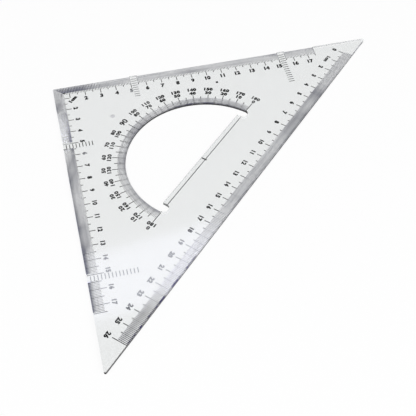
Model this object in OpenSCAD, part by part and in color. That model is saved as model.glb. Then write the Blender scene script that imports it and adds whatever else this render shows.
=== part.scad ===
// Drafting triangle: a 45 degree set square in clear plastic with a protractor window.
// It lies flat. The hypotenuse runs along X, the right angle points to +Y, Z is up.
// All lengths are in millimetres.

/* [Plate] */
// Length of the hypotenuse between its sharp corners
hyp_len = 300; // [240:5:400]
// Thickness of the plate
plate_t = 2; // [1.6:0.1:4]
// Radius of the three corners, seen from above
corner_r = 0.8; // [0.4:0.1:3]

/* [Ruling edges] */
// Width of the bevel along each ruling edge
bevel_w = 6; // [4:0.5:8]
// Thickness left at the ruling edge
edge_t = 1.3; // [0.8:0.1:1.5]
// Least length left unruled at the end of each leg
leg_margin = 36; // [25:1:50]
// Least length left unruled at each end of the hypotenuse
tip_margin = 19; // [15:1:30]

/* [Scale lines] */
// Width of a printed line
line_w = 0.45; // [0.2:0.05:0.6]
// How far in a centimetre line reaches from the edge
cm_reach = 9.6; // [8.5:0.1:9.7]
// How far in a half centimetre line reaches from the edge
half_reach = 7.6; // [6.5:0.1:8]

/* [Lands and rungs] */
// Distance from the right angle to the first land on each leg
near_land = 50; // [40:5:70]
// Length of the scale from the start of the second land to its end
far_land = 25; // [15:5:40]
// Spacing of the cross lines printed on the lands
rung_step = 2; // [1.5:0.5:3]
// Length of a cross line
rung_len = 3.6; // [2.5:0.1:3.8]
// How far in from the edge the cross lines of the first land run
near_rungs_in = 18; // [10:1:24]
// How far in from the edge the cross lines of the second land run
far_rungs_in = 28; // [14:1:32]

/* [Protractor window] */
// Radius of the window
arc_r = 48; // [35:1:52]
// Height of the protractor's base line over the hypotenuse
base_h = 34; // [28:1:38]
// Width of the bevel round the arc
arc_bevel_w = 4.4; // [3:0.1:5]
// Height of the clear strip above the base line
strip_h = 2.4; // [1.5:0.1:4]
// Diameter of the round relief at each end of the strip
relief_d = 6; // [4:0.5:8]
// How far a five degree line reaches past the arc's bevel
fives_past = 2.3; // [1.5:0.1:3]
// How far a ten degree line reaches past the arc's bevel
tens_past = 3.9; // [3:0.1:5]

/* [Hidden] */
$fn = 96;
// overrun of a cut past the face that it opens
over = 1;
// depth of the moulded channel that the ink fills, flush with the underside
ink_t = 0.1;
// clear margin between a printed line and the edge of the plate
line_gap = 0.3;
// spacing of the centimetre lines, and of those with their halves
cm_step = 10;
half_step = cm_step / 2;
// angles: a full ten, a five, half a turn, a quarter, and the slant of each leg
ten_deg = 10;
five_deg = 5;
half_turn = 180;
square_turn = 90;
leg_slant = 45;

// the triangle
alt = hyp_len / 2;
leg_len = alt * sqrt(2);
tip_cut = corner_r / tan(leg_slant / 2);
corner_steps = 12;
apex_drop = corner_r * (sqrt(2) - 1);
base_y = -(alt - apex_drop) / 2;
apex_y = base_y + alt;

// bevels: the drop of the ruling edge, and the slope of each bevel
edge_drop = plate_t - edge_t;
edge_slope = edge_drop / bevel_w;
arc_slope = edge_drop / arc_bevel_w;

// scales: as many marks as each edge has room for
leg_marks = floor((leg_len - leg_margin) / half_step);
leg_scale = leg_marks * half_step;
hyp_marks = floor((hyp_len - 2 * tip_margin) / cm_step);
hyp_scale = hyp_marks * cm_step;
hyp_start = (hyp_len - hyp_scale) / 2;

// protractor window, with its centre on the axis of the plate
centre_y = base_y + base_h;
relief_r = relief_d / 2;
relief_x = arc_r - relief_r;
strip_x = arc_r - relief_d;
ring_r = arc_r + arc_bevel_w;
// how far the centre line reaches above and below the base line
cross_up = 1.7;
cross_down = 1;

// lands across the leg bevels, each half a centimetre wide, and the least gap
// between their rungs and the print of the protractor or the hypotenuse
land_w = half_step;
second_land = leg_scale - far_land;
rung_gap = 1.5;
centre_in = (alt - base_h) / sqrt(2);

// gate mark of the moulding, on the axis below the right angle
gate_d = 2.8;
gate_t = 0.15;
gate_in = 47.6;

ink = [0.07, 0.07, 0.08];
clear = [0.86, 0.9, 0.89, 0.6];

// Depth at which the print of the protractor starts, at a distance along a leg.
function ring_room(at) =
    let (side = centre_in - at, reach = ring_r + tens_past + rung_gap)
    abs(side) < reach ? centre_in - sqrt(reach * reach - side * side) : leg_len;

// Depth at which the scale of the hypotenuse starts, at a distance along a leg.
function hyp_room(at) = leg_len - at - (cm_reach + rung_gap) * sqrt(2);

// Number of rungs that run in from a land, clear of the other print.
function rung_count(at, reach) =
    floor(min(reach, ring_room(at + land_w / 2), hyp_room(at + land_w)) / rung_step);

// Places its children on an edge: X runs along the edge, Y runs into the plate.
module on_right_leg() {
    translate([0, apex_y, 0])
        rotate([0, 0, -leg_slant])
            mirror([0, 1, 0])
                children();
}

module on_left_leg() {
    mirror([1, 0, 0])
        on_right_leg()
            children();
}

module on_hypotenuse() {
    translate([alt, base_y, 0])
        mirror([1, 0, 0])
            children();
}

// Places its children at the centre of the protractor.
module on_protractor() {
    translate([0, centre_y, 0])
        children();
}

// The points of a rounded corner, counter-clockwise from one angle to another.
function round_corner(centre, from, to) =
    [for (i = [0 : corner_steps])
        let (angle = from + (to - from) * i / corner_steps)
        centre + corner_r * [cos(angle), sin(angle)]];

// The outline of the plate, with its three corners rounded.
module outline() {
    polygon(concat(
        round_corner([alt - tip_cut, base_y + corner_r], -square_turn, leg_slant),
        round_corner([0, apex_y - corner_r * sqrt(2)], leg_slant, leg_slant + square_turn),
        round_corner([-alt + tip_cut, base_y + corner_r], leg_slant + square_turn,
            half_turn + square_turn)
    ));
}

// Half of a disc, on the side of +Y.
module half_disc(radius) {
    intersection() {
        circle(radius);
        translate([-radius, 0])
            square([2 * radius, radius]);
    }
}

// The window: half a disc, less the strip that carries the base line,
// with a round relief at each end of the strip.
module window() {
    difference() {
        half_disc(arc_r);
        translate([-strip_x, -over])
            square([2 * strip_x, strip_h + over]);
    }
    for (side = [-1, 1])
        translate([side * relief_x, 0])
            mirror([0, 1, 0])
                half_disc(relief_r);
}

// What a bevel takes away between two places along a straight edge.
module bevel_cut(from, to) {
    translate([from, 0, 0])
        rotate([90, 0, 90])
            linear_extrude(to - from)
                polygon([
                    [-over, edge_t - edge_slope * over],
                    [bevel_w, plate_t],
                    [bevel_w, plate_t + over],
                    [-over, plate_t + over],
                ]);
}

// The bevel of a leg, left out where the two lands cross it.
module leg_bevel_cuts() {
    bevel_cut(-over, near_land);
    bevel_cut(near_land + land_w, second_land);
    bevel_cut(second_land + land_w, leg_scale);
}

// What the bevel round the arc takes away: it ends square at the base line.
module arc_bevel_cut() {
    rotate_extrude(angle = half_turn)
        polygon([
            [arc_r - over, edge_t - arc_slope * over],
            [ring_r, plate_t],
            [ring_r, plate_t + over],
            [arc_r - over, plate_t + over],
        ]);
}

// One printed line across an edge, at a distance along it.
module edge_line(at, reach) {
    translate([at - line_w / 2, line_gap])
        square([line_w, reach - line_gap]);
}

module leg_centimetres() {
    for (i = [2 : 2 : leg_marks])
        edge_line(i * half_step, cm_reach);
}

module leg_halves() {
    for (i = [1 : 2 : leg_marks])
        edge_line(i * half_step, half_reach);
}

module hyp_centimetres() {
    for (i = [0 : 1 : hyp_marks])
        edge_line(hyp_start + i * cm_step, cm_reach);
}

module hyp_halves() {
    for (i = [1 : 1 : hyp_marks])
        edge_line(hyp_start + i * cm_step - half_step, half_reach);
}

// The cross lines that run in from one land, parallel to the edge.
module rungs(at, reach) {
    for (i = [1 : 1 : rung_count(at, reach)])
        translate([at + (land_w - rung_len) / 2, i * rung_step - line_w / 2])
            square([rung_len, line_w]);
}

module near_rungs() {
    rungs(near_land, near_rungs_in);
}

module far_rungs() {
    rungs(second_land, far_rungs_in);
}

// Printed lines round the protractor, every ten degrees from the first.
module ring_lines(first, past) {
    for (angle = [first : ten_deg : half_turn - first])
        rotate([0, 0, angle])
            translate([arc_r + line_gap, -line_w / 2])
                square([arc_bevel_w + past - line_gap, line_w]);
}

// The base line of the protractor, crossed at its centre.
module base_cross() {
    translate([-strip_x + line_gap, -line_w / 2])
        square([2 * (strip_x - line_gap), line_w]);
    translate([-line_w / 2, -cross_down])
        square([line_w, cross_up + cross_down]);
}

module leg_lines() {
    leg_centimetres();
    leg_halves();
    near_rungs();
    far_rungs();
}

// All the printed lines, seen from above.
module all_lines() {
    on_right_leg()
        leg_lines();
    on_left_leg()
        leg_lines();
    on_hypotenuse() {
        hyp_centimetres();
        hyp_halves();
    }
    on_protractor() {
        ring_lines(0, tens_past);
        ring_lines(five_deg, fives_past);
        base_cross();
    }
}

module printed() {
    color(ink)
        linear_extrude(ink_t)
            children();
}

// The plate before it is bevelled and printed.
module blank() {
    linear_extrude(plate_t)
        difference() {
            outline();
            on_protractor()
                window();
        }
}

// The blank with its ruling edges bevelled. The bevels of the two legs meet in a
// mitre at the right angle, so one leg is cut after the other.
module bevelled_blank() {
    difference() {
        difference() {
            blank();
            on_right_leg()
                leg_bevel_cuts();
        }
        on_left_leg()
            leg_bevel_cuts();
        on_hypotenuse()
            bevel_cut(hyp_start, hyp_start + hyp_scale);
        on_protractor()
            arc_bevel_cut();
    }
}

module plate() {
    color(clear)
        difference() {
            bevelled_blank();
            translate([0, apex_y - gate_in, plate_t - gate_t])
                cylinder(h = gate_t + over, d = gate_d);
            translate([0, 0, -over])
                linear_extrude(over + ink_t)
                    all_lines();
        }
}

module right_leg_centimetres() {
    printed()
        on_right_leg()
            leg_centimetres();
}

module right_leg_halves() {
    printed()
        on_right_leg()
            leg_halves();
}

module left_leg_centimetres() {
    printed()
        on_left_leg()
            leg_centimetres();
}

module left_leg_halves() {
    printed()
        on_left_leg()
            leg_halves();
}

module hypotenuse_centimetres() {
    printed()
        on_hypotenuse()
            hyp_centimetres();
}

module hypotenuse_halves() {
    printed()
        on_hypotenuse()
            hyp_halves();
}

module right_rungs_near() {
    printed()
        on_right_leg()
            near_rungs();
}

module right_rungs_far() {
    printed()
        on_right_leg()
            far_rungs();
}

module left_rungs_near() {
    printed()
        on_left_leg()
            near_rungs();
}

module left_rungs_far() {
    printed()
        on_left_leg()
            far_rungs();
}

module protractor_tens() {
    printed()
        on_protractor()
            ring_lines(0, tens_past);
}

module protractor_fives() {
    printed()
        on_protractor()
            ring_lines(five_deg, fives_past);
}

module protractor_base_line() {
    printed()
        on_protractor()
            base_cross();
}

plate();
right_leg_centimetres();
right_leg_halves();
left_leg_centimetres();
left_leg_halves();
hypotenuse_centimetres();
hypotenuse_halves();
right_rungs_near();
right_rungs_far();
left_rungs_near();
left_rungs_far();
protractor_tens();
protractor_fives();
protractor_base_line();
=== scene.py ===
# %% [markdown]
# # A clear drafting triangle
# The real object is a 45 degree set square: one plate of clear acrylic, moulded two
# millimetres thick, with its scales stamped on the underside in black ink. The packed
# CAD model is loaded first, because every new piece is placed in its frame.

# %% Load the frame
import math

import bmesh
import bpy
from mathutils import Matrix, Quaternion, Vector


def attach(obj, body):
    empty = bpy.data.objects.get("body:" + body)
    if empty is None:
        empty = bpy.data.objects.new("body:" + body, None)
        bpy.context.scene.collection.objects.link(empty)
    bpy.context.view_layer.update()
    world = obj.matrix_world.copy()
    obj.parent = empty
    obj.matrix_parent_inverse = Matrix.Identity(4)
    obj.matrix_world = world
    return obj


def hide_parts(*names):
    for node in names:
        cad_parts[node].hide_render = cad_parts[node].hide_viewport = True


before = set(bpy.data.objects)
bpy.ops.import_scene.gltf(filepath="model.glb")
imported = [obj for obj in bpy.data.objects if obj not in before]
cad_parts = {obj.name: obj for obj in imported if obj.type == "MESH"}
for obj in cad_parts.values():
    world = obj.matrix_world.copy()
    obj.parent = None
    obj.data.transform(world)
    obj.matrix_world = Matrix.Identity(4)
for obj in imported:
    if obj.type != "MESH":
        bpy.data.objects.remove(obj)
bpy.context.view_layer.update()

# %% [markdown]
# ## The sizes of the plate
# A drawing instrument is all about places, so each size of the plate has a name here.
# They are the values of the CAD source, in millimetres: the shapes are built in
# millimetres too, and made metres when they are finished.

# %% Sizes
MM = 0.001
CENTIMETRE = 10
HALF_CENTIMETRE = 5
THICK = 2.0
HYP_LEN = 300.0
HALF_HYP = HYP_LEN / 2
CORNER_R = 0.8
TIP_CUT = CORNER_R / math.tan(math.pi / 8)
BASE_Y = -(HALF_HYP - CORNER_R * (math.sqrt(2) - 1)) / 2
APEX_Y = BASE_Y + HALF_HYP
BEVEL_W = 6.0
EDGE_T = 1.3
LEG_SCALE = 175
HYP_START = 20
HYP_SCALE = 260
LANDS = ((50, 55), (150, 155))
ARC_R = 48.0
ARC_BEVEL_W = 4.4
STRIP_H = 2.4
RELIEF_R = 3.0
CENTRE = Vector((0.0, BASE_Y + 34.0, 0.0))
print("right angle at y =", round(APEX_Y, 3), "centre of the protractor at", tuple(CENTRE))

# %% [markdown]
# ## The three ruling edges
# Print, bevels and figures all follow an edge: so far along it, so far in from it. An
# edge is kept as its start, the way along it and the way into the plate, and gives a
# matrix that carries a shape from "along, in, up" to the frame.

# %% Edges
SLANT = math.sqrt(0.5)


class Edge:
    """A ruling edge: where its scale is measured from, and its two directions."""

    def __init__(self, start, along, inward):
        self.start = Vector(start)
        self.along = Vector(along)
        self.inward = Vector(inward)

    def place(self, at=0.0, depth=0.0):
        """The matrix whose X runs along the edge and whose Y runs into the plate."""
        spot = self.start + self.along * at + self.inward * depth
        columns = (self.along, self.inward, Vector((0, 0, 1)), spot)
        rows = [[column[i] for column in columns] for i in range(3)]
        return Matrix(rows + [[0, 0, 0, 1]])


RIGHT_LEG = Edge((0, APEX_Y, 0), (SLANT, -SLANT, 0), (-SLANT, -SLANT, 0))
LEFT_LEG = Edge((0, APEX_Y, 0), (-SLANT, -SLANT, 0), (SLANT, -SLANT, 0))
HYPOTENUSE = Edge((HALF_HYP, BASE_Y, 0), (-1, 0, 0), (0, 1, 0))
print("the first centimetre line of the right leg starts at",
      tuple(RIGHT_LEG.place(CENTIMETRE).translation))

# %% [markdown]
# ## Colours and nodes
# Colours are chosen as they look on a screen, in hex, and a shader wants them linear,
# so one function turns them. Another adds a node, sets its values and links it: what
# it is given for an input is either a number or the output that feeds it. A Mix node
# has sockets of the same name for values and for colours, so those go by number.

# %% Small tools for materials
MIX_FACTOR = 0
COLOUR_A, COLOUR_B, COLOUR_RESULT = 6, 7, 2
VALUE_A, VALUE_B, VALUE_RESULT = 2, 3, 0


def linear_colour(code):
    """The linear RGBA colour of an sRGB hex value such as #F0F0F0."""
    shares = [int(code[i:i + 2], 16) / 255 for i in (1, 3, 5)]
    return [c / 12.92 if c <= 0.04045 else ((c + 0.055) / 1.055) ** 2.4 for c in shares] + [1.0]


def add_node(tree, kind, inputs=None, **settings):
    """Adds a node with its settings, and sets or links each of the inputs given."""
    node = tree.nodes.new(kind)
    for name, value in settings.items():
        setattr(node, name, value)
    for name, value in (inputs or {}).items():
        if isinstance(value, bpy.types.NodeSocket):
            tree.links.new(value, node.inputs[name])
        else:
            node.inputs[name].default_value = value
    return node


def new_material(name):
    """An empty node material and its tree."""
    material = bpy.data.materials.new(name)
    material.use_nodes = True
    material.node_tree.nodes.clear()
    return material, material.node_tree


print("paper white is", [round(c, 3) for c in linear_colour("#FFFFFF")])

# %% [markdown]
# ## Acrylic
# The plate is PMMA, moulded in a polished tool. Its faces are glossy and almost
# colourless, and light that runs inside the plate from edge to edge comes out violet
# and dark, which is why the walls look like thin dark lines. The bevels come from a
# part of the tool that was ground along the edge: they are hazy in some places and
# clear in others, with streaks that run lengthwise. Light and shade are painted on the
# bevels: a painted reflection makes them darker or lighter from place to place and
# along the streaks, and a painted shade runs along their rim. One material does it
# all, because the plate is one solid: attributes say where a bevel is, how hazy it is
# there and how much painted light and shade it gets, and a UV map gives the place along it.

# %% Clear acrylic
ACRYLIC_IOR = 1.49
POLISHED = 0.06
CLEAR_BEVEL = 0.08
HAZY_BEVEL = 0.43
STREAK_LENGTH = 40.0
STREAK_WIDTH = 1.8
STREAK_TURN = math.radians(2.5)
REFLECTION_STREAK_RANGE = (0.35, 0.65, 0.75, 1.2)
# Sizes of the painted shade along the rim of a bevel.
RIM_SHADE_WIDTH = 0.8
RIM_SHADE_FADE_OUT = 0.2
RIM_SHADE_FADE_IN = 0.3
RIM_SHADE_BLOT = 7.0
SHADE_BLOT_RANGE = (0.4, 0.55, 0.55, 1.0)
RIPPLE_SIZE = 0.03
RIPPLE_HEIGHT = 0.000004
ABSORPTION = 10.0


def mixed(tree, factor, first, second):
    """The output of a colour mix: first where the factor is 0, second where it is 1."""
    inputs = {MIX_FACTOR: factor, COLOUR_A: first, COLOUR_B: second}
    return add_node(tree, "ShaderNodeMix", inputs, data_type="RGBA").outputs[COLOUR_RESULT]


def product(tree, first, second):
    """The output of a product of two values."""
    return add_node(tree, "ShaderNodeMath", {0: first, 1: second},
                    operation="MULTIPLY").outputs["Value"]


def spread(tree, value, low, high, to_low=0.0, to_high=1.0):
    """The output of a map from one range to another, held at its ends."""
    inputs = {"Value": value, "From Min": low, "From Max": high, "To Min": to_low,
              "To Max": to_high}
    return add_node(tree, "ShaderNodeMapRange", inputs).outputs["Result"]


def painted(tree, name):
    """The value that is painted on the mesh as an attribute."""
    return add_node(tree, "ShaderNodeAttribute", attribute_name=name).outputs["Fac"]


def clear_acrylic():
    """Clear plastic that is ground where the mesh says so, with painted light and shade on the ground
    faces and a painted shade in blots along the rim.
    """
    material, tree = new_material("moulded_clear_acrylic")
    run = add_node(tree, "ShaderNodeUVMap", uv_map="edge_run").outputs["UV"]
    is_ground = painted(tree, "ground_face")
    # Lengthwise streaks of painted reflection, as wide as the marks of a grinding stone seen from
    # arm's length.
    stretch = {"Vector": run, "Scale": (1 / STREAK_LENGTH, 1 / STREAK_WIDTH, 1.0),
               "Rotation": (0, 0, STREAK_TURN)}
    along = add_node(tree, "ShaderNodeMapping", stretch)
    streak_inputs = {"Vector": along.outputs["Vector"], "Scale": 1.0, "Detail": 2.0}
    reflection_streaks = add_node(tree, "ShaderNodeTexNoise", streak_inputs, noise_dimensions="2D")
    reflection_streak = spread(tree, reflection_streaks.outputs["Fac"], *REFLECTION_STREAK_RANGE)
    # Painted light and shade: the painted light share and the streaks take a bevel from a dark blue
    # grey to near white, a painted reflection of the studio.
    light = product(tree, painted(tree, "ground_light"), reflection_streak)
    ground_with_painted_light = mixed(tree, light, linear_colour("#57596A"), linear_colour("#FAFBFD"))
    # The painted shade along the rim comes and goes along the edge, in blots of some millimetres.
    shade_blots = add_node(tree, "ShaderNodeTexNoise", {"Vector": run, "Scale": 1 / RIM_SHADE_BLOT},
                     noise_dimensions="2D")
    shade_blot = spread(tree, shade_blots.outputs["Fac"], *SHADE_BLOT_RANGE)
    inward = add_node(tree, "ShaderNodeSeparateXYZ", {"Vector": run})
    near_shaded_rim = spread(tree, inward.outputs["Y"], RIM_SHADE_WIDTH - RIM_SHADE_FADE_OUT,
                      RIM_SHADE_WIDTH + RIM_SHADE_FADE_IN, 1.0, 0.0)
    rim = product(tree, product(tree, near_shaded_rim, shade_blot), painted(tree, "ground_rim"))
    # Painted shade: near its rim the bevel goes dark navy.
    ground_with_painted_light = mixed(tree, rim, ground_with_painted_light, linear_colour("#0C0838"))
    colour = mixed(tree, is_ground, linear_colour("#F8FAF9"), ground_with_painted_light)
    haze = spread(tree, painted(tree, "ground_haze"), 0.0, 1.0, CLEAR_BEVEL, HAZY_BEVEL)
    rough = add_node(tree, "ShaderNodeMix", {MIX_FACTOR: is_ground, VALUE_A: POLISHED,
                                             VALUE_B: haze}).outputs[VALUE_RESULT]
    place = add_node(tree, "ShaderNodeTexCoord")
    ripple = add_node(tree, "ShaderNodeTexNoise", {"Vector": place.outputs["Object"],
                                                   "Scale": 1 / RIPPLE_SIZE, "Detail": 1.0})
    surface = add_node(tree, "ShaderNodeBump", {"Height": ripple.outputs["Fac"], "Strength": 1.0,
                                                "Distance": RIPPLE_HEIGHT})
    shader = add_node(tree, "ShaderNodeBsdfPrincipled", {
        "Base Color": colour, "Roughness": rough, "IOR": ACRYLIC_IOR,
        "Transmission Weight": 1.0, "Normal": surface.outputs["Normal"]})
    # Violet is what is left of white light after some centimetres in the plate.
    depth = add_node(tree, "ShaderNodeVolumeAbsorption", {"Color": linear_colour("#956CBC"),
                                                          "Density": ABSORPTION})
    add_node(tree, "ShaderNodeOutputMaterial", {"Surface": shader.outputs["BSDF"],
                                                "Volume": depth.outputs["Volume"]})
    return material


acrylic = clear_acrylic()
print("material", acrylic.name, "with", len(acrylic.node_tree.nodes), "nodes")

# %% [markdown]
# ## Stamping ink
# The scales are hot stamped: a film of black ink pressed on the underside. It has no
# gloss of its own, because it is seen through the plate that it sticks to, and it is
# uneven: the stamp presses harder in some places, so that strokes go from black to a
# dark grey over a few millimetres. Across the left tip runs a band, square to the left
# leg, where the print is painted a faint grey: a painted reflection, the glare of the
# cool softbox that the plate mirrors there, which washes the print out. Where the
# long lines of an edge run on under its bevel they took less ink than in the open, so
# that they don't stand out from the fine lines between them.

# %% Ink
PRESS_SIZE = 0.007
GRAIN_SIZE = 0.0006
PRESS_RANGE = (0.2, 0.42)
INK_ROUGHNESS = 0.55
INK_SPECULAR = 0.1
GLARE_BAND_AT = 0.1015
GLARE_BAND_HALF = 0.020
GLARE_BAND_FADE = 0.006
BEVEL_FADE = 0.0003
PALE_END = 0.2
PALE_FADE = 0.01
PALE_GREY = "#A8AAAE"


def distance_from(tree, place, start, direction):
    """The output of the distance from a start, measured in one direction."""
    offset = add_node(tree, "ShaderNodeVectorMath", {0: place, 1: start}, operation="SUBTRACT")
    return add_node(tree, "ShaderNodeVectorMath", {0: offset.outputs["Vector"], 1: direction},
                    operation="DOT_PRODUCT").outputs["Value"]


def stamping_ink(name, full, thin, glare_grey, edge=None):
    """Ink of two stamped greys, and a faint grey painted for glare in a band across the left tip.
    With an edge it is pale under its bevel, as far as PALE_END.
    """
    material, tree = new_material(name)
    place = add_node(tree, "ShaderNodeTexCoord").outputs["Object"]
    press = add_node(tree, "ShaderNodeTexNoise", {"Vector": place, "Scale": 1 / PRESS_SIZE,
                                                  "Detail": 1.0}).outputs["Fac"]
    grain = add_node(tree, "ShaderNodeTexNoise", {"Vector": place, "Scale": 1 / GRAIN_SIZE})
    uneven = spread(tree, product(tree, press, grain.outputs["Fac"]), *PRESS_RANGE)
    stamped = mixed(tree, uneven, linear_colour(full), linear_colour(thin))
    # X of the turned place runs across the band of painted glare, from its middle line.
    turned = add_node(tree, "ShaderNodeMapping", {"Vector": place, "Location": (GLARE_BAND_AT, 0, 0),
                                                  "Rotation": (0, 0, -math.pi / 4)})
    across = add_node(tree, "ShaderNodeSeparateXYZ", {"Vector": turned.outputs["Vector"]})
    away = add_node(tree, "ShaderNodeMath", {0: across.outputs["X"]}, operation="ABSOLUTE")
    in_painted_glare = spread(tree, away.outputs["Value"], GLARE_BAND_HALF - GLARE_BAND_FADE, GLARE_BAND_HALF + GLARE_BAND_FADE,
                     1.0, 0.0)
    colour = mixed(tree, in_painted_glare, stamped, linear_colour(glare_grey))
    if edge:
        inward = distance_from(tree, place, edge.start * MM, edge.inward)
        along = distance_from(tree, place, edge.start * MM, edge.along)
        bevelled = spread(tree, inward, BEVEL_W * MM - BEVEL_FADE, BEVEL_W * MM + BEVEL_FADE,
                          1.0, 0.0)
        within = spread(tree, along, PALE_END - PALE_FADE, PALE_END + PALE_FADE, 1.0, 0.0)
        colour = mixed(tree, product(tree, bevelled, within), colour, linear_colour(PALE_GREY))
    shader = add_node(tree, "ShaderNodeBsdfPrincipled", {
        "Base Color": colour, "Roughness": INK_ROUGHNESS, "Specular IOR Level": INK_SPECULAR})
    add_node(tree, "ShaderNodeOutputMaterial", {"Surface": shader.outputs["BSDF"]})
    return material


# The third grey of each ink is the painted glare in the band across the left tip.
BLACK = ("#040405", "#1A1A1C", "#BCBEC4")
ink = stamping_ink("stamped_black_ink", *BLACK)
thin_ink = stamping_ink("thinly_stamped_ink", "#3C3E40", "#6C6E70", "#A4A6AC")
faint_ink = stamping_ink("barely_stamped_ink", "#84868A", "#A8AAAE", "#BCBEC4")
print("inks", ink.name, thin_ink.name, "and", faint_ink.name)

# %% [markdown]
# ## Finishing a shape
# A bmesh in millimetres becomes an object of the part: it is scaled to metres, gets its
# material and rides on the one body. The object itself stays at the origin, with its
# place in its mesh.

# %% Finish a piece


def finish_piece(name, shape, material):
    """Makes a piece of a bmesh that was built in millimetres."""
    bmesh.ops.scale(shape, vec=(MM, MM, MM), verts=shape.verts)
    mesh = bpy.data.meshes.new(name)
    shape.to_mesh(mesh)
    shape.free()
    mesh.materials.append(material)
    piece = bpy.data.objects.new(name, mesh)
    bpy.context.scene.collection.objects.link(piece)
    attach(piece, "root")
    print(name, "has", len(mesh.polygons), "faces")
    return piece


# %% [markdown]
# ## The blank of the plate
# The plate is a triangle of sheet with its corners rounded a little, so that they don't
# prick. Three vertices make its face, a vertex bevel rounds them, and an extrusion gives
# the thickness. A profile of 0.5 is a true arc only at a square corner: at the 45 degree
# tips it would bulge by a fifth of a millimetre, and 0.407 meets the arc of the CAD. The
# underside goes a fiftieth of a millimetre lower than the ink, so that the ink lies in
# the plate, as it looks, and no two faces share a plane.

# %% Blank
UNDERSIDE = -0.02
SQUARE_PROFILE = 0.5
TIP_PROFILE = 0.407
CORNER_STEPS = 8
blank = bmesh.new()
left_tip = blank.verts.new((-HALF_HYP, BASE_Y, UNDERSIDE))
right_tip = blank.verts.new((HALF_HYP, BASE_Y, UNDERSIDE))
right_angle = blank.verts.new((0, APEX_Y, UNDERSIDE))
blank.faces.new((left_tip, right_tip, right_angle))
for corners, cut, profile in (((left_tip, right_tip), TIP_CUT, TIP_PROFILE),
                              ((right_angle,), CORNER_R, SQUARE_PROFILE)):
    bmesh.ops.bevel(blank, geom=list(corners), offset=cut, offset_type="OFFSET",
                    segments=CORNER_STEPS, profile=profile, affect="VERTICES", material=-1)
raised = bmesh.ops.extrude_face_region(blank, geom=blank.faces[:])
top = [item for item in raised["geom"] if isinstance(item, bmesh.types.BMVert)]
bmesh.ops.translate(blank, vec=(0, 0, THICK - UNDERSIDE), verts=top)
bmesh.ops.recalc_face_normals(blank, faces=blank.faces)
print("the blank has", len(blank.faces), "faces")

# %% [markdown]
# ## The window of the protractor
# The window is half a disc, so that a pencil can follow the arc. A clear strip is left
# along its base for the base line, and a round relief at each end of the strip keeps
# the corner from cracking. Its outline is drawn as one loop: each arc is a vertex spun
# round its centre, so the curves meet exactly, and the loop is filled and raised.

# %% Window
OVERRUN = 1.0
ARC_STEPS = 180
RELIEF_STEPS = 24
SAME_POINT = 0.001


def spun_arc(shape, start, centre, turn, steps):
    """Spins a vertex round a centre, which leaves an arc of edges behind it."""
    vertex = shape.verts.new(start)
    bmesh.ops.spin(shape, geom=[vertex], cent=centre, axis=(0, 0, 1), dvec=(0, 0, 0), angle=turn,
                   steps=steps, use_merge=False, use_normal_flip=False, use_duplicate=False)


window = bmesh.new()
spun_arc(window, (ARC_R, 0, 0), (0, 0, 0), math.pi, ARC_STEPS)
for side in (-1, 1):
    relief_x = side * (ARC_R - RELIEF_R)
    spun_arc(window, (relief_x - RELIEF_R, 0, 0), (relief_x, 0, 0), math.pi, RELIEF_STEPS)
strip_x = ARC_R - 2 * RELIEF_R
strip = [window.verts.new((x, y, 0)) for x, y in
         ((-strip_x, 0), (-strip_x, STRIP_H), (strip_x, STRIP_H), (strip_x, 0))]
for first, second in zip(strip, strip[1:]):
    window.edges.new((first, second))
bmesh.ops.remove_doubles(window, verts=window.verts, dist=SAME_POINT)
bmesh.ops.contextual_create(window, geom=window.edges[:])
raised = bmesh.ops.extrude_face_region(window, geom=window.faces[:])
top = [item for item in raised["geom"] if isinstance(item, bmesh.types.BMVert)]
bmesh.ops.translate(window, vec=(0, 0, THICK + 2 * OVERRUN), verts=top)
bmesh.ops.translate(window, vec=CENTRE - Vector((0, 0, OVERRUN)), verts=window.verts)
bmesh.ops.recalc_face_normals(window, faces=window.faces)
print("the window has", len(window.faces), "faces")

# %% [markdown]
# ## The bevels
# A bevel brings the scale down to the paper: the edge is 1.3 millimetres thick and
# rises to the full two over six millimetres. On the legs it stops at two lands. What
# a bevel takes away is a wedge, drawn across the edge and raised along it. The wedges
# of the two legs overlap at the right angle, so they are cut one after the other and
# leave a mitre. The bevel of the arc is the same wedge, spun half a turn.

# %% Bevel wedges


def wedge_face(shape, low, high, rise):
    """Draws the section of a wedge: X is the distance from the edge, Z is up."""
    slope = rise / (high - low)
    points = ((low - OVERRUN, THICK - rise - slope * OVERRUN), (high, THICK),
              (high, THICK + OVERRUN), (low - OVERRUN, THICK + OVERRUN))
    return shape.faces.new([shape.verts.new((x, 0, z)) for x, z in points])


def edge_wedges(shape, edge, sections):
    """Adds the wedges of one straight edge, from and to places along it."""
    for start, end in sections:
        face = wedge_face(shape, 0.0, BEVEL_W, THICK - EDGE_T)
        swing = Matrix.Rotation(math.pi / 2, 4, "Z")
        bmesh.ops.transform(shape, matrix=edge.place(start) @ swing, verts=face.verts[:])
        raised = bmesh.ops.extrude_face_region(shape, geom=[face])
        moved = [item for item in raised["geom"] if isinstance(item, bmesh.types.BMVert)]
        bmesh.ops.translate(shape, vec=edge.along * (end - start), verts=moved)


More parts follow.
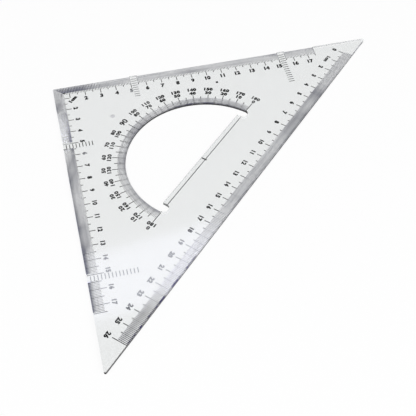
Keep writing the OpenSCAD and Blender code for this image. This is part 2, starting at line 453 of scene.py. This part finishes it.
leg_sections = ((-OVERRUN, LANDS[0][0]), (LANDS[0][1], LANDS[1][0]), (LANDS[1][1], LEG_SCALE))
first_wedges = bmesh.new()
edge_wedges(first_wedges, RIGHT_LEG, leg_sections)
edge_wedges(first_wedges, HYPOTENUSE, ((HYP_START, HYP_START + HYP_SCALE),))
second_wedges = bmesh.new()
edge_wedges(second_wedges, LEFT_LEG, leg_sections)
arc_wedge = bmesh.new()
face = wedge_face(arc_wedge, ARC_R, ARC_R + ARC_BEVEL_W, THICK - EDGE_T)
bmesh.ops.spin(arc_wedge, geom=[face], cent=(0, 0, 0), axis=(0, 0, 1), dvec=(0, 0, 0),
               angle=math.pi, steps=ARC_STEPS, use_merge=False, use_normal_flip=False,
               use_duplicate=False)
bmesh.ops.translate(arc_wedge, vec=CENTRE, verts=arc_wedge.verts)
print("wedges:", len(first_wedges.faces), len(second_wedges.faces), len(arc_wedge.faces))

# %% [markdown]
# ## The gate mark
# Acrylic is shot into the mould through one gate, and the stub is trimmed level. It
# leaves a shallow round dimple on the axis of the plate, below the right angle.

# %% Gate
GATE_D = 2.8
GATE_DEEP = 0.15
GATE_IN = 47.6
GATE_STEPS = 32
gate = bmesh.new()
gate_place = Matrix.Translation((0, APEX_Y - GATE_IN, THICK + (OVERRUN - GATE_DEEP) / 2))
bmesh.ops.create_cone(gate, cap_ends=True, segments=GATE_STEPS, radius1=GATE_D / 2,
                      radius2=GATE_D / 2, depth=OVERRUN + GATE_DEEP, matrix=gate_place)
print("the gate has", len(gate.faces), "faces")

# %% [markdown]
# ## Cutting the plate
# Each cutter is taken from the blank with a Boolean, whose exact solver copes with the
# thin mitre at the right angle. The cutters are only tools, so they are removed again.

# %% Cut
SLIVER = 0.0005


def loose_object(name, shape):
    """An object of a bmesh in millimetres, for a cut."""
    bmesh.ops.recalc_face_normals(shape, faces=shape.faces)
    mesh = bpy.data.meshes.new(name)
    shape.to_mesh(mesh)
    shape.free()
    holder = bpy.data.objects.new(name, mesh)
    bpy.context.scene.collection.objects.link(holder)
    return holder


def cut_away(shape, cutters):
    """The shape less each cutter in turn, as a new bmesh."""
    body = loose_object("blank", shape)
    tools = [loose_object("cutter", cutter) for cutter in cutters]
    for tool in tools:
        cut = body.modifiers.new("cut", "BOOLEAN")
        cut.operation = "DIFFERENCE"
        cut.solver = "EXACT"
        cut.object = tool
    graph = bpy.context.evaluated_depsgraph_get()
    result = bmesh.new()
    result.from_mesh(body.evaluated_get(graph).data)
    for holder in [body] + tools:
        mesh = holder.data
        bpy.data.objects.remove(holder)
        bpy.data.meshes.remove(mesh)
    return result


plate = cut_away(blank, [window, first_wedges, second_wedges, arc_wedge, gate])
bmesh.ops.remove_doubles(plate, verts=plate.verts, dist=SLIVER)
bmesh.ops.dissolve_degenerate(plate, edges=plate.edges, dist=SLIVER)
bmesh.ops.recalc_face_normals(plate, faces=plate.faces)
open_edges = [edge for edge in plate.edges if not edge.is_manifold]
print("the plate has", len(plate.faces), "faces,", len(open_edges), "open edges and",
      round(plate.calc_volume()), "cubic millimetres")

# %% [markdown]
# ## Where the ground faces are
# The material has to know which faces are ground and how far along its edge each point
# of them lies. A bevel or an outer wall is told by the tilt of its face. Its UV is the
# distance along the edge and in from it, in millimetres, and round the arc it is the
# length of the arc. The wall of the clear strip and the gate mark are dull as well.
# All other faces keep their plain X and Y.

# %% Tell the ground faces
EDGES = {"right_leg": RIGHT_LEG, "left_leg": LEFT_LEG, "hypotenuse": HYPOTENUSE}
LEVEL = 0.9995
FACING_OUT = 0.999
GATE_REACH = GATE_D * 0.6
GATE_SPOT = Vector((0, APEX_Y - GATE_IN, 0))
NEAR = 0.05


def surface_of(face):
    """The name of what a face belongs to: an edge, the arc, the strip, the gate or plain."""
    middle = face.calc_center_median()
    if (middle - GATE_SPOT).xy.length < GATE_REACH:
        return "gate"
    if abs(face.normal.z) > LEVEL:
        return "plain"
    for name, edge in EDGES.items():
        if face.normal.xy.normalized().dot(-edge.inward.xy) > FACING_OUT:
            if -NEAR < (middle - edge.start).dot(edge.inward) < BEVEL_W:
                return name
    spoke = middle - CENTRE
    if spoke.y > 0 and ARC_R - NEAR < spoke.xy.length < ARC_R + ARC_BEVEL_W:
        return "arc"
    if abs(spoke.y - STRIP_H) < NEAR and spoke.xy.length < ARC_R:
        return "strip"
    return "plain"


def run_of(name, point):
    """How far along and how far in a point lies, on what has this name."""
    if name in EDGES:
        offset = point - EDGES[name].start
        return offset.dot(EDGES[name].along), offset.dot(EDGES[name].inward)
    if name == "arc":
        spoke = point - CENTRE
        return math.degrees(math.atan2(spoke.y, spoke.x)), spoke.xy.length - ARC_R
    return point.x, point.y


kinds = [surface_of(face) for face in plate.faces]
print("faces:", {name: kinds.count(name) for name in sorted(set(kinds))})

# %% [markdown]
# ## How the ground faces look
# A grinding wheel wears and is dressed again, so no two stretches of a bevel look the
# same: some are clear and let each line be seen, others blur the lines to an even grey.
# A few stations along each edge say how light the painted reflection of the bevel is at
# its rim and inside, how hazy the bevel is, and how dark the painted shade of its rim
# is, as shares from 0 to 1. Where a light share goes past 0 or 1, the bevel is as dark
# or as clear as it gets before that side is reached.

# %% Stations along the bevels
STATIONS = {
    "right_leg": ((0, 0.4, -0.1, 0.3, 0.2), (9, 0.4, -0.15, 0.3, 0.3), (18, 0.3, -0.1, 0.3, 0.3),
                  (28, 0.8, 0.4, 0.5, 0.3), (38, 1.0, 0.7, 0.8, 0.3), (50, 0.7, 1.2, 0.9, 0.3),
                  (64, 0.75, 1.05, 1.0, 0.3), (78, 1.0, 0.85, 1.0, 0.3), (92, 0.95, 0.25, 1.0, 0.3),
                  (112, 0.95, 1.0, 1.0, 0.2), (124, 0.7, 0.8, 1.0, 0.2), (138, 0.8, 1.4, 0.9, 0.3),
                  (148, 0.1, 1.2, 0.9, 0.3), (160, 0.65, 1.1, 0.9, 0.2), (175, 0.4, 1.4, 0.9, 0.2)),
    "left_leg": ((0, 0.8, 1.1, 0.9, 0.3), (10, 0.9, 1.05, 0.9, 0.3), (19, 0.0, 1.1, 0.6, 0.3),
                 (25, 0.9, 0.4, 0.15, 0.0), (50, 1.9, -0.4, 0.1, 0.0), (60, 1.6, 0.2, 0.6, 0.1),
                 (72, 0.5, 0.55, 1.0, 0.4), (82, 0.0, 1.0, 0.9, 0.4), (95, 0.4, 1.6, 0.8, 0.3),
                 (108, 0.0, 1.5, 0.9, 0.3), (117, -0.1, 0.75, 0.9, 0.3), (126, 0.25, 0.8, 0.9, 0.3),
                 (137, -0.3, 1.7, 0.5, 0.2), (150, -0.3, 1.8, 0.3, 0.1), (164, -0.1, 1.8, 0.3, 0.1),
                 (175, -0.1, 1.7, 0.3, 0.2)),
    "hypotenuse": ((4, 1.2, 1.2, 0.9, 0.0), (20, 1.3, 1.3, 1.0, 0.1), (38, 1.2, 0.9, 1.0, 0.2),
                   (54, 1.0, 0.75, 0.9, 0.5), (64, 0.25, 0.1, 0.9, 0.6), (74, 0.8, 0.5, 1.0, 0.5),
                   (84, 0.35, 0.65, 1.0, 0.6), (96, 0.45, 0.3, 1.0, 0.6), (105, 0.45, 0.4, 1.0, 0.6),
                   (114, 0.65, 0.9, 1.0, 0.6), (130, 0.75, 1.0, 1.0, 0.5), (146, 0.75, 0.7, 1.0, 0.5),
                   (166, 0.65, 0.75, 1.0, 0.6), (176, 1.3, 0.9, 0.7, 0.6), (186, 1.3, 1.3, 0.4, 0.5),
                   (209, 1.0, 1.1, 0.1, 0.3), (217, 1.2, 1.1, 0.0, 1.0), (250, 1.3, 1.3, 0.0, 1.0),
                   (262, 1.4, 0.8, 0.0, 1.0), (280, 1.4, 0.6, 0.0, 1.0), (292, 0.8, 0.8, 0.2, 0.7)),
    "arc": ((0, 0.1, 1.2, 0.9, 0.5), (20, 0.65, 1.1, 1.0, 0.9), (38, 0.45, 0.8, 1.0, 1.0),
            (52, 0.4, 0.85, 1.0, 0.9), (65, 1.1, 1.1, 1.0, 0.7), (80, 0.75, 0.65, 1.0, 0.6),
            (95, 0.25, 0.45, 1.0, 0.7), (110, 0.65, 1.3, 1.0, 0.6), (125, 0.3, 0.6, 1.0, 0.4),
            (140, 0.8, 1.4, 0.9, 0.3), (155, 0.6, 0.95, 0.9, 0.5), (180, 0.15, 1.4, 0.8, 0.5)),
    "strip": ((0, 0.75, 0.75, 1.0, 0.0),),
    "gate": ((0, 0.45, 0.45, 1.0, 0.0),),
}


def between(stations, at):
    """The values at a place along an edge, read between its two nearest stations."""
    if at <= stations[0][0] or len(stations) == 1:
        return stations[0][1:]
    for low, high in zip(stations, stations[1:]):
        if at <= high[0]:
            share = (at - low[0]) / (high[0] - low[0])
            return [a + (b - a) * share for a, b in zip(low[1:], high[1:])]
    return stations[-1][1:]


print("stations:", {name: len(places) for name, places in STATIONS.items()})

# %% [markdown]
# ## Painting the ground faces
# A value that is painted on the corners of a face runs evenly between them. So the long
# bevels are first cut across at each station, and then each corner gets the painted
# light and shade, the haze and the painted rim shade of its place. The arc has a face
# for each degree, and needs no cut.
# Edges between faces that are nearly in line are shaded smooth, and all others stay sharp.

# %% Paint the ground faces
BEVEL_WIDTHS = {"arc": ARC_BEVEL_W}
ON_CUT = 0.0001
CREASE = math.radians(3)
for name, edge in EDGES.items():
    for station in STATIONS[name]:
        faces = [face for face in plate.faces if surface_of(face) == name]
        parts = {part for face in faces for part in [face, *face.edges, *face.verts]}
        bmesh.ops.bisect_plane(plate, geom=list(parts), dist=ON_CUT,
                               plane_co=edge.place(station[0]).translation, plane_no=edge.along)
uv_layer = plate.loops.layers.uv.new("edge_run")
ground_layer = plate.faces.layers.float.new("ground_face")
# The light layer holds the painted light and shade of each bevel, and the rim layer its painted rim
# shade.
layers = {part: plate.loops.layers.float.new("ground_" + part)
          for part in ("light", "haze", "rim")}
for face in plate.faces:
    name = surface_of(face)
    face[ground_layer] = 1.0 if name in STATIONS else 0.0
    face.smooth = True
    for loop in face.loops:
        along, inward = run_of(name, loop.vert.co)
        if name in STATIONS:
            # Outer and inner are the painted light of the bevel at its rim and inside; rim is its
            # painted shade.
            outer, inner, haze, rim = between(STATIONS[name], along)
            depth = min(inward / BEVEL_WIDTHS.get(name, BEVEL_W), 1.0)
            loop[layers["light"]] = outer + (inner - outer) * depth
            loop[layers["haze"]] = haze
            loop[layers["rim"]] = rim
        if name == "arc":
            along = math.radians(along) * ARC_R
        loop[uv_layer].uv = (along, inward)
for edge in plate.edges:
    edge.smooth = edge.is_manifold and edge.calc_face_angle() < CREASE
open_edges = [edge for edge in plate.edges if not edge.is_manifold]
print("ground faces:", sum(1 for face in plate.faces if face[ground_layer]),
      "open edges:", len(open_edges))
acrylic_plate = finish_piece("acrylic_plate", plate, acrylic)
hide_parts("plate")

# %% [markdown]
# ## The ink of the CAD model
# The CAD nodes already hold the centimetre, half centimetre, ten and five degree
# lines, the rungs of the lands and the base line, at their true places. They only need
# their ink. The base line is thinner ink than the rest, and the first rungs of the
# right leg hardly took any. Near the left tip the lines of the hypotenuse are as dark
# under the bevel as beside it, because there the fine lines are heavy too.

# %% Ink the CAD nodes
NODE_INKS = {"protractor_base_line": thin_ink, "right_rungs_near": faint_ink}
for name, edge in EDGES.items():
    edge_ink = stamping_ink("stamped_ink_of_" + name, *BLACK, edge)
    NODE_INKS[name + "_centimetres"] = edge_ink
    NODE_INKS[name + "_halves"] = edge_ink
for name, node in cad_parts.items():
    if name == "plate":
        continue
    node.data.materials.clear()
    node.data.materials.append(NODE_INKS.get(name, ink))
print("inked", len(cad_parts) - 1, "nodes")

# %% [markdown]
# ## Millimetre lines
# Between the half centimetres stand four fine lines, as long as the bevel is wide, so
# at a few steps' distance the bevel looks grey. The stamp leaves them out on the
# lands. Each line is a small box, placed along its edge. Near the right angle a line
# stops at the mitre, where it would run into the lines of the other leg. The stamp
# pressed unevenly, so the lines are finer in some places, and towards the left tip the
# lines of the hypotenuse are half as heavy again: a few widths along each edge say so.

# %% Millimetre lines
LINE_WIDTHS = {
    "right_leg": ((0, 0.27), (175, 0.25)),
    "left_leg": ((0, 0.25), (24, 0.25), (30, 0.2), (50, 0.2), (60, 0.27), (175, 0.25)),
    "hypotenuse": ((20, 0.25), (170, 0.25), (186, 0.26), (250, 0.28), (259, 0.38), (280, 0.38)),
}
LINE_FROM = 0.3
LINE_REACH = 6.4
PRINT_LOW = 0.02
PRINT_HIGH = 0.1


def add_bar(shape, place, width, start, end):
    """Adds a printed bar: its width lies along X of its place and its length along Y."""
    size = Matrix.Diagonal((width, end - start, PRINT_HIGH - PRINT_LOW, 1))
    middle = Matrix.Translation((0, (start + end) / 2, (PRINT_LOW + PRINT_HIGH) / 2))
    bmesh.ops.create_cube(shape, size=1.0, matrix=place @ middle @ size)


def millimetre_lines(edge_name, first, length, lands, meets_mitre):
    """The fine lines of one edge, from the place where its scale starts."""
    edge = EDGES[edge_name]
    shape = bmesh.new()
    for count in range(1, length):
        on_land = any(low < count < high for low, high in lands)
        if count % HALF_CENTIMETRE == 0 or on_land:
            continue
        reach = min(LINE_REACH, count) if meets_mitre else LINE_REACH
        width, = between(LINE_WIDTHS[edge_name], first + count)
        add_bar(shape, edge.place(first + count), width, LINE_FROM, reach)
    bmesh.ops.recalc_face_normals(shape, faces=shape.faces)
    return finish_piece(edge_name + "_millimetres", shape, ink)


millimetre_lines("right_leg", 0, LEG_SCALE, LANDS, True)
millimetre_lines("left_leg", 0, LEG_SCALE, LANDS, True)
millimetre_lines("hypotenuse", HYP_START, HYP_SCALE, (), False)

# %% [markdown]
# ## Degree lines
# Round the arc there is a line at each degree, over the bevel and a little past it.
# Each is a bar on a spoke from the centre of the protractor. The centre itself is
# marked by a short dark tick across the thin base line, over the whole clear strip.

# %% Degree lines
FIVE_DEGREES = 5
DEGREE_W = 0.22
DEGREE_PAST = 0.7


def spoke(angle):
    """The place whose Y runs outwards from the protractor's centre, at an angle from +X."""
    return Matrix.Translation(CENTRE) @ Matrix.Rotation(math.radians(angle - 90), 4, "Z")


degrees = bmesh.new()
for angle in range(1, 180):
    if angle % FIVE_DEGREES:
        add_bar(degrees, spoke(angle), DEGREE_W, ARC_R + LINE_FROM,
                ARC_R + ARC_BEVEL_W + DEGREE_PAST)
bmesh.ops.recalc_face_normals(degrees, faces=degrees.faces)
finish_piece("protractor_degrees", degrees, ink)
TICK_W = 0.8
TICK_BELOW = 1.0
TICK_RAISE = 0.02
tick = bmesh.new()
tick_place = Matrix.Translation((0, 0, TICK_RAISE)) @ spoke(90)
add_bar(tick, tick_place, TICK_W, -TICK_BELOW, STRIP_H - TICK_RAISE)
bmesh.ops.recalc_face_normals(tick, faces=tick.faces)
finish_piece("protractor_centre_tick", tick, ink)

# %% [markdown]
# ## Figures
# The figures are plain upright numerals. Each is a text curve that is thickened a
# little, made a mesh, scaled to the height of its print, and only then put in place. A
# nine is thickened less than the other figures, because its loop is small and would
# close up.

# %% A printed word
CAP_HEIGHT = 0.69
WIDTH_SHARE = 1.0
LETTER_DEPTH = 0.5
CURVE_STEPS = 3
BOLD = 0.064
NINE_BOLD = 0.055


def add_word(shape, word, place, height, width_share=WIDTH_SHARE, gap=1.0, bold=BOLD):
    """Adds the solid letters of a word, centred on its place, reading along its X."""
    curve = bpy.data.curves.new("word", "FONT")
    curve.body = word
    curve.offset = min(bold, NINE_BOLD) if "9" in word else bold
    curve.space_character = gap
    curve.extrude = LETTER_DEPTH
    curve.resolution_u = CURVE_STEPS
    holder = bpy.data.objects.new("word", curve)
    letters = bmesh.new()
    letters.from_mesh(holder.to_mesh())
    holder.to_mesh_clear()
    bpy.data.objects.remove(holder)
    bpy.data.curves.remove(curve)
    bmesh.ops.remove_doubles(letters, verts=letters.verts, dist=SLIVER)
    across = [vertex.co.x for vertex in letters.verts]
    middle = Vector(((min(across) + max(across)) / 2, CAP_HEIGHT / 2, 0))
    bmesh.ops.translate(letters, vec=-middle, verts=letters.verts)
    scale = height / CAP_HEIGHT
    bmesh.ops.scale(letters, vec=(scale * width_share, scale, PRINT_HIGH - PRINT_LOW),
                    verts=letters.verts)
    bmesh.ops.translate(letters, vec=(0, 0, (PRINT_LOW + PRINT_HIGH) / 2), verts=letters.verts)
    bmesh.ops.transform(letters, matrix=place, verts=letters.verts)
    bmesh.ops.recalc_face_normals(letters, faces=letters.faces)
    finished = bpy.data.meshes.new("word")
    letters.to_mesh(finished)
    letters.free()
    shape.from_mesh(finished)
    bpy.data.meshes.remove(finished)


def reading(edge, at, depth):
    """The place of a figure on an edge: X along the edge, Z up, so that it isn't mirrored."""
    spot = edge.start + edge.along * at + edge.inward * depth
    turn = math.atan2(edge.along.y, edge.along.x)
    return Matrix.Translation(spot) @ Matrix.Rotation(turn, 4, "Z")


print("a word is thickened by", BOLD, "of its size, and a nine by", NINE_BOLD)

# %% [markdown]
# ## Figures of the three edges
# Along an edge a figure reads in the direction of counting, and a unit mark takes the
# place of the one. The figures of the right leg are a little taller than those of the
# other two edges, where two figures side by side are finer than a single one. One
# figure of each leg was hardly touched by the stamp, so it has the faint ink, and two
# stand a little before their line, where the rungs of the lands begin.

# %% Figures of the three edges
FIGURE_HEIGHTS = {"right_leg": 2.8, "left_leg": 2.45, "hypotenuse": 2.5}
FIGURE_BOLDS = {"right_leg": BOLD, "left_leg": 0.07, "hypotenuse": 0.075}
PAIR_BOLDS = {"right_leg": BOLD, "left_leg": 0.056, "hypotenuse": 0.06}
PAIR_GAPS = {"right_leg": 1.0, "left_leg": 1.08, "hypotenuse": 1.08}
FIRST_PAIR = 10
LEG_FIGURE_IN = 12.2
HYP_FIGURE_IN = 12.6
FIRST_FIGURE = 2
LAST_LEG_FIGURE = 17
LAST_HYP_FIGURE = 26
MOVED_FIGURES = {5: 49.5, 15: 148.7}
THIN_FIGURES = {"right_leg": 5, "left_leg": 6}


def add_figure(shape, count, place, edge_name):
    """Adds the number of a centimetre, as high and as bold as its edge has it."""
    bolds = FIGURE_BOLDS if count < FIRST_PAIR else PAIR_BOLDS
    add_word(shape, str(count), place, FIGURE_HEIGHTS[edge_name], gap=PAIR_GAPS[edge_name],
             bold=bolds[edge_name])


def leg_figures(edge_name):
    """The figures of one leg, with the faint one as a piece of its own."""
    stamped, thin = bmesh.new(), bmesh.new()
    for count in range(FIRST_FIGURE, LAST_LEG_FIGURE + 1):
        at = MOVED_FIGURES.get(count, CENTIMETRE * count)
        shape = thin if count == THIN_FIGURES[edge_name] else stamped
        place = reading(EDGES[edge_name], at, LEG_FIGURE_IN)
        add_figure(shape, count, place, edge_name)
    finish_piece(edge_name + "_figures", stamped, ink)
    finish_piece(edge_name + "_thin_figure", thin, faint_ink)


leg_figures("right_leg")
leg_figures("left_leg")
hyp_figures = bmesh.new()
for count in [0] + list(range(FIRST_FIGURE, LAST_HYP_FIGURE + 1)):
    place = reading(HYPOTENUSE, HYP_START + CENTIMETRE * count, HYP_FIGURE_IN)
    add_figure(hyp_figures, count, place, "hypotenuse")
finish_piece("hypotenuse_figures", hyp_figures, ink)

# %% [markdown]
# ## Figures of the protractor
# The protractor is numbered twice, clockwise outside and anticlockwise inside, and
# both rows stand upright on their spokes. The ninety is one larger figure.

# %% Protractor figures
OUTER_ROW = 61.3
INNER_ROW = 58.0
ROW_HEIGHT = 2.2
ROW_WIDTH_SHARE = 1.12
ROW_GAP = 1.15
ROW_BOLD = 0.057
HEAVY_ROW_BOLD = 0.08
HEAVY_ROWS = (5, 65)
NINETY_AT = 60.1
NINETY_HEIGHT = 3.4
NINETY_WIDTH_SHARE = 1.1
NINETY_GAP = 1.0
NINETY_BOLD = 0.033

outer_figures = bmesh.new()
inner_figures = bmesh.new()
for angle in range(0, 181, 10):
    if angle == 90:
        ninety = spoke(angle) @ Matrix.Translation((0, NINETY_AT, 0))
        add_word(outer_figures, "90", ninety, NINETY_HEIGHT, NINETY_WIDTH_SHARE, NINETY_GAP,
                 NINETY_BOLD)
        continue
    outer = spoke(angle) @ Matrix.Translation((0, OUTER_ROW, 0))
    inner = spoke(angle) @ Matrix.Translation((0, INNER_ROW, 0))
    bold = HEAVY_ROW_BOLD if HEAVY_ROWS[0] < angle < HEAVY_ROWS[1] else ROW_BOLD
    for row, word, place in ((outer_figures, 180 - angle, outer), (inner_figures, angle, inner)):
        add_word(row, str(word), place, ROW_HEIGHT, ROW_WIDTH_SHARE, ROW_GAP, bold)
finish_piece("protractor_outer_figures", outer_figures, ink)
finish_piece("protractor_inner_figures", inner_figures, ink)

# %% [markdown]
# ## Unit marks and a spot of ink
# "1cm" says what the scales count: once below the right angle and once at the start of
# the hypotenuse. A blot of ink lies beside the tenth centimetre of the right leg.

# %% Unit marks and spot
TOP_UNIT_Y = 58.9
TOP_UNIT_WIDTH_SHARE = 1.2
UNIT_AT = 31.0
UNIT_WIDTH_SHARE = 1.1
UNIT_HEIGHT = 2.15
UNIT_GAP = 1.1
TOP_UNIT_BOLD = 0.085
UNIT_BOLD = 0.066
units = bmesh.new()
add_word(units, "1cm", Matrix.Translation((0, TOP_UNIT_Y, 0)), UNIT_HEIGHT,
         TOP_UNIT_WIDTH_SHARE, UNIT_GAP, TOP_UNIT_BOLD)
add_word(units, "1cm", reading(HYPOTENUSE, UNIT_AT, HYP_FIGURE_IN), UNIT_HEIGHT,
         UNIT_WIDTH_SHARE, UNIT_GAP, UNIT_BOLD)
finish_piece("unit_marks", units, ink)
SPOT_D = 1.7
SPOT_STEPS = 20
SPOT_AT = 104.8
SPOT_IN = 17.7
spot = bmesh.new()
spot_raise = Matrix.Translation((0, 0, (PRINT_LOW + PRINT_HIGH) / 2))
bmesh.ops.create_cone(spot, cap_ends=True, segments=SPOT_STEPS, radius1=SPOT_D / 2,
                      radius2=SPOT_D / 2, depth=PRINT_HIGH - PRINT_LOW,
                      matrix=RIGHT_LEG.place(SPOT_AT, SPOT_IN) @ spot_raise)
bmesh.ops.recalc_face_normals(spot, faces=spot.faces)
finish_piece("ink_spot", spot, ink)

# %% [markdown]
# ## The studio
# The triangle lies on a white sheet that curves up into a low wall far away. To the
# camera, and in what the plastic reflects and lets through, the sheet is mostly as
# white as white can be. The rest of it is plain paper, which keeps the soft shadow.

# %% Floor
PAPER_GLOW = 0.88
FLOOR_DROP = -0.05 * MM
SHEET_PROFILE = ((0.0, 0.0), (5.0, 0.0), (5.4, 0.1), (5.7, 0.4), (5.8, 0.8), (5.8, 2.4))
SHEET_STEPS = 64
SHEET_SAME_POINT = 0.0001


def studio_paper():
    """White paper that shows at its full white, and still takes a soft shadow."""
    material, tree = new_material("white_studio_paper")
    path = add_node(tree, "ShaderNodeLightPath")
    seen = add_node(tree, "ShaderNodeMath", {0: path.outputs["Is Camera Ray"],
                                             1: path.outputs["Is Glossy Ray"]}, operation="ADD")
    shown = add_node(tree, "ShaderNodeMath", {0: seen.outputs["Value"],
                                              1: path.outputs["Is Transmission Ray"]},
                     operation="ADD", use_clamp=True)
    share = add_node(tree, "ShaderNodeMath", {0: shown.outputs["Value"], 1: PAPER_GLOW},
                     operation="MULTIPLY")
    paper = add_node(tree, "ShaderNodeBsdfDiffuse", {"Color": linear_colour("#F4F4F4")})
    white = add_node(tree, "ShaderNodeEmission", {"Strength": 1.0})
    both = add_node(tree, "ShaderNodeMixShader", {0: share.outputs["Value"],
                                                  1: paper.outputs["BSDF"],
                                                  2: white.outputs["Emission"]})
    add_node(tree, "ShaderNodeOutputMaterial", {"Surface": both.outputs["Shader"]})
    return material


sheet = bmesh.new()
profile = [sheet.verts.new((x, 0, z)) for x, z in SHEET_PROFILE]
rim = [sheet.edges.new(pair) for pair in zip(profile, profile[1:])]
bmesh.ops.spin(sheet, geom=rim, cent=(0, 0, 0), axis=(0, 0, 1), dvec=(0, 0, 0),
               angle=2 * math.pi, steps=SHEET_STEPS, use_merge=True, use_normal_flip=False,
               use_duplicate=False)
bmesh.ops.remove_doubles(sheet, verts=sheet.verts, dist=SHEET_SAME_POINT)
bmesh.ops.translate(sheet, vec=(0, 0, FLOOR_DROP), verts=sheet.verts)
sheet_mesh = bpy.data.meshes.new("studio_sheet")
sheet.to_mesh(sheet_mesh)
sheet.free()
sheet_mesh.materials.append(studio_paper())
studio_sheet = bpy.data.objects.new("studio_sheet", sheet_mesh)
bpy.context.scene.collection.objects.link(studio_sheet)
print("the sheet is", round(2 * max(v.co.x for v in sheet_mesh.vertices), 1), "m wide")

# %% [markdown]
# ## Light
# Two wide softboxes stand behind and beside the camera and light the sheet evenly.
# Three small cool ones hang where the plate mirrors them: one makes the pale zone over
# the left tip, and the others brighten a stretch of the hypotenuse bevel and of the
# left leg bevel. The rest of the studio is dim, so that the ink stays black.

# %% Lamps and world


def softbox(name, place, aim, size, power, colour):
    """A rectangular lamp at a place, turned to what it is aimed at."""
    light = bpy.data.lights.new(name, "AREA")
    light.shape = "RECTANGLE"
    light.size, light.size_y = size
    light.energy = power
    light.color = linear_colour(colour)[:3]
    lamp = bpy.data.objects.new(name, light)
    lamp.location = place
    lamp.rotation_mode = "QUATERNION"
    lamp.rotation_quaternion = (Vector(aim) - Vector(place)).to_track_quat("-Z", "Y")
    bpy.context.scene.collection.objects.link(lamp)
    return lamp


WHITE = "#FFFFFF"
COOL_WHITE = "#E6E6FF"
WIDE_SIZE = (2.2, 2.2)
WIDE_POWER = 27.0
MIDDLE = (0, 0, 0)
COOL_TURN = math.radians(-38.7)
LEG_TURN = math.radians(45)
WORLD_STRENGTH = 0.12
softbox("left_softbox", place=(-1.1, 0.2, 1.3), aim=MIDDLE, size=WIDE_SIZE,
        power=WIDE_POWER, colour=WHITE)
softbox("front_softbox", place=(0.2, -1.3, 1.3), aim=MIDDLE, size=WIDE_SIZE,
        power=WIDE_POWER, colour=WHITE)
cool = softbox("cool_softbox", place=(0.744, 0.609, 1.5), aim=(0.744, 0.609, 0),
               size=(0.62, 0.2035), power=0.66, colour=COOL_WHITE)
cool.rotation_quaternion = Quaternion((0, 0, 1), COOL_TURN)
softbox("edge_softbox", place=(0.785, 0.165, 1.5), aim=(0.785, 0.165, 0),
        size=(0.25, 0.15), power=0.5, colour=COOL_WHITE)
leg = softbox("leg_softbox", place=(0.812, 1.394, 1.5), aim=(0.812, 1.394, 0),
              size=(0.15, 0.035), power=0.12, colour=COOL_WHITE)
leg.rotation_quaternion = Quaternion((0, 0, 1), LEG_TURN)
world = bpy.data.worlds.new("dim_studio")
world.use_nodes = True
backdrop = world.node_tree.nodes["Background"]
backdrop.inputs["Color"].default_value = linear_colour(WHITE)
backdrop.inputs["Strength"].default_value = WORLD_STRENGTH
bpy.context.scene.world = world

# %% [markdown]
# ## Camera
# The camera looks down on the plate from the side of its left tip. Its place, aim and
# focal length were fitted to the printed lines, whose true places are known.

# %% Camera
CAMERA_AT = Vector((-304.27, -233.81, 394.98)) * MM
CAMERA_AIM = Vector((-30.65, -61.69, 0.0)) * MM
CAMERA_ROLL = math.radians(-0.54)
SENSOR_WIDTH = 36.0
FOCAL_LENGTH = 76.68
NEAREST = 0.01
camera_data = bpy.data.cameras.new("photo_camera")
camera_data.sensor_width = SENSOR_WIDTH
camera_data.lens = FOCAL_LENGTH
camera_data.clip_start = NEAREST
camera = bpy.data.objects.new("photo_camera", camera_data)
camera.location = CAMERA_AT
camera.rotation_mode = "QUATERNION"
camera.rotation_quaternion = ((CAMERA_AIM - CAMERA_AT).to_track_quat("-Z", "Y")
                              @ Quaternion((0, 0, 1), CAMERA_ROLL))
bpy.context.scene.collection.objects.link(camera)
bpy.context.scene.camera = camera
bpy.context.scene.view_settings.view_transform = "Standard"
print("camera at", tuple(round(c, 3) for c in camera.location))
